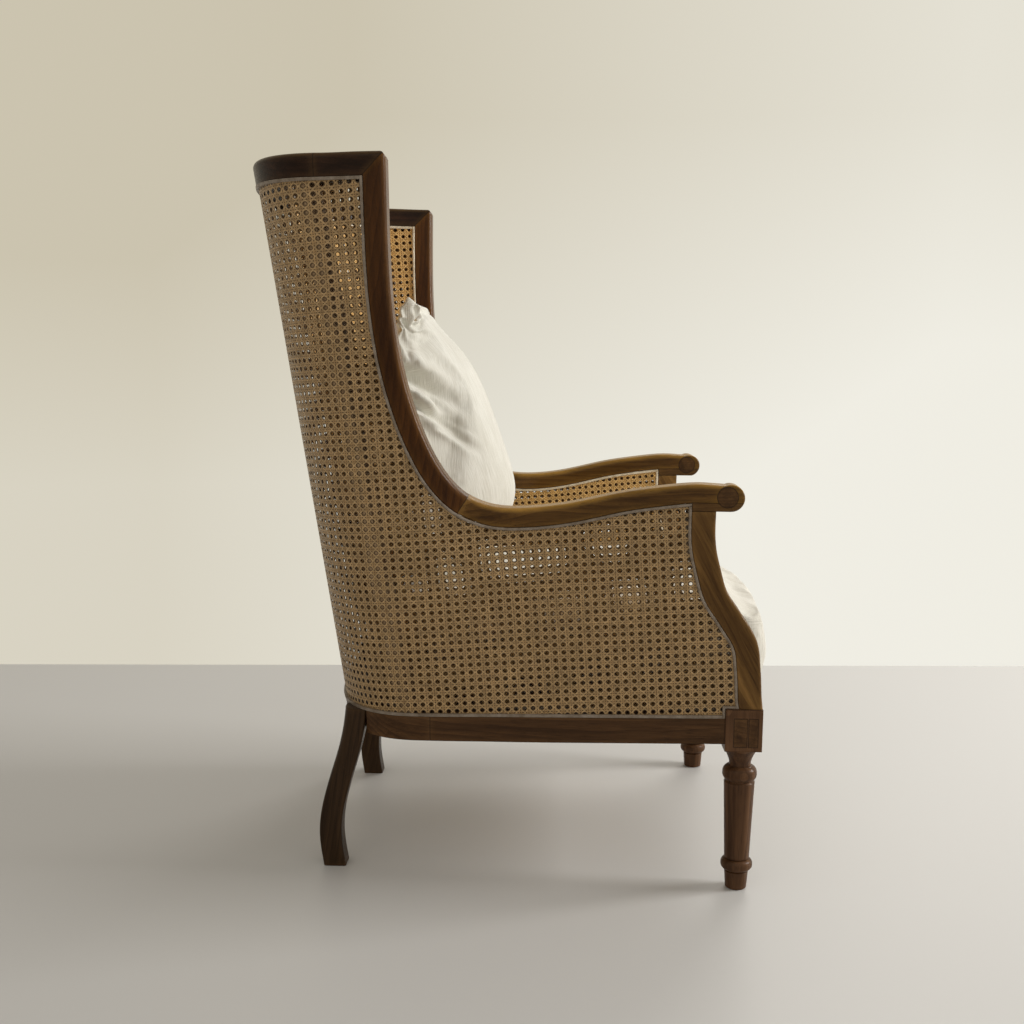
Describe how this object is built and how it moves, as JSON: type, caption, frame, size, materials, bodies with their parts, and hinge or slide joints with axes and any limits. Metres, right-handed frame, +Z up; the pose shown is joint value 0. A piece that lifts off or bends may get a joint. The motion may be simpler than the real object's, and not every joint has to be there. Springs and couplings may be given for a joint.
{
  "type": "high-back cane armchair",
  "caption": "High-back armchair with curved wings: dark wooden frame, double cane sides and back, a loose boxed seat cushion and a loose back pillow.",
  "frame": {"origin": "centre of the bounding box on the floor, under the feet", "axes": "the sitter looks along -Y, +X is the sitter's left, +Z is up"},
  "size_m": [0.753, 0.8302, 1.108],
  "materials": {
    "frame_wood": "dark walnut stain, rubbed to amber on rounded edges, satin",
    "inlay_wood": "end-grain disc, stained dark, satin",
    "inner_wood": "plain sawn hardwood, unfinished",
    "outer_cane": "woven cane, tan brown, satin",
    "inner_cane": "woven cane, golden brown, satin",
    "outer_bead": "reed bead, greyish brown, satin",
    "inner_bead": "reed bead, pale cream, satin",
    "deck_board": "plywood, unfinished",
    "screw_steel": "zinc-plated countersunk screws",
    "seat_fabric": "off-white woven cotton, matte",
    "pillow_fabric": "off-white woven cotton, matte"
  },
  "bodies": {
    "frame": {"front_leg_right": "frame_wood", "front_leg_left": "frame_wood", "arm_post_right": "frame_wood", "arm_post_left": "frame_wood", "arm_right": "frame_wood", "arm_left": "frame_wood", "arm_nose_block_right": "frame_wood", "arm_nose_block_left": "frame_wood", "arm_scroll_discs_right": "inlay_wood", "arm_scroll_discs_left": "inlay_wood", "wing_stile_right": "frame_wood", "wing_stile_left": "frame_wood", "top_side_rail_right": "frame_wood", "top_side_rail_left": "frame_wood", "top_corner_rail_right": "frame_wood", "top_corner_rail_left": "frame_wood", "side_seat_rail_right": "frame_wood", "side_seat_rail_left": "frame_wood", "rear_corner_rail_right": "frame_wood", "rear_corner_rail_left": "frame_wood", "rear_leg_right": "frame_wood", "rear_leg_left": "frame_wood", "back_post_right": "inner_wood", "back_post_left": "inner_wood", "top_back_rail": "frame_wood", "back_seat_rail": "frame_wood", "front_seat_rail": "frame_wood", "outer_cane": "outer_cane", "inner_cane": "inner_cane", "outer_bead": "outer_bead", "inner_bead": "inner_bead", "seat_deck": "deck_board", "seat_cleats": "inner_wood", "corner_blocks": "inner_wood", "deck_screws": "screw_steel"},
    "seat_cushion": {"seat_cushion": "seat_fabric"},
    "back_pillow": {"back_pillow": "pillow_fabric"}
  },
  "joints": [
    {"name": "seat_cushion_slide", "type": "slide", "parent": "frame", "child": "seat_cushion", "axis": [0, -1, 0], "range_m": [0, 0.65]},
    {"name": "back_pillow_slide", "type": "slide", "parent": "frame", "child": "back_pillow", "axis": [0, 0, 1], "range_m": [0, 0.65]}
  ]
}
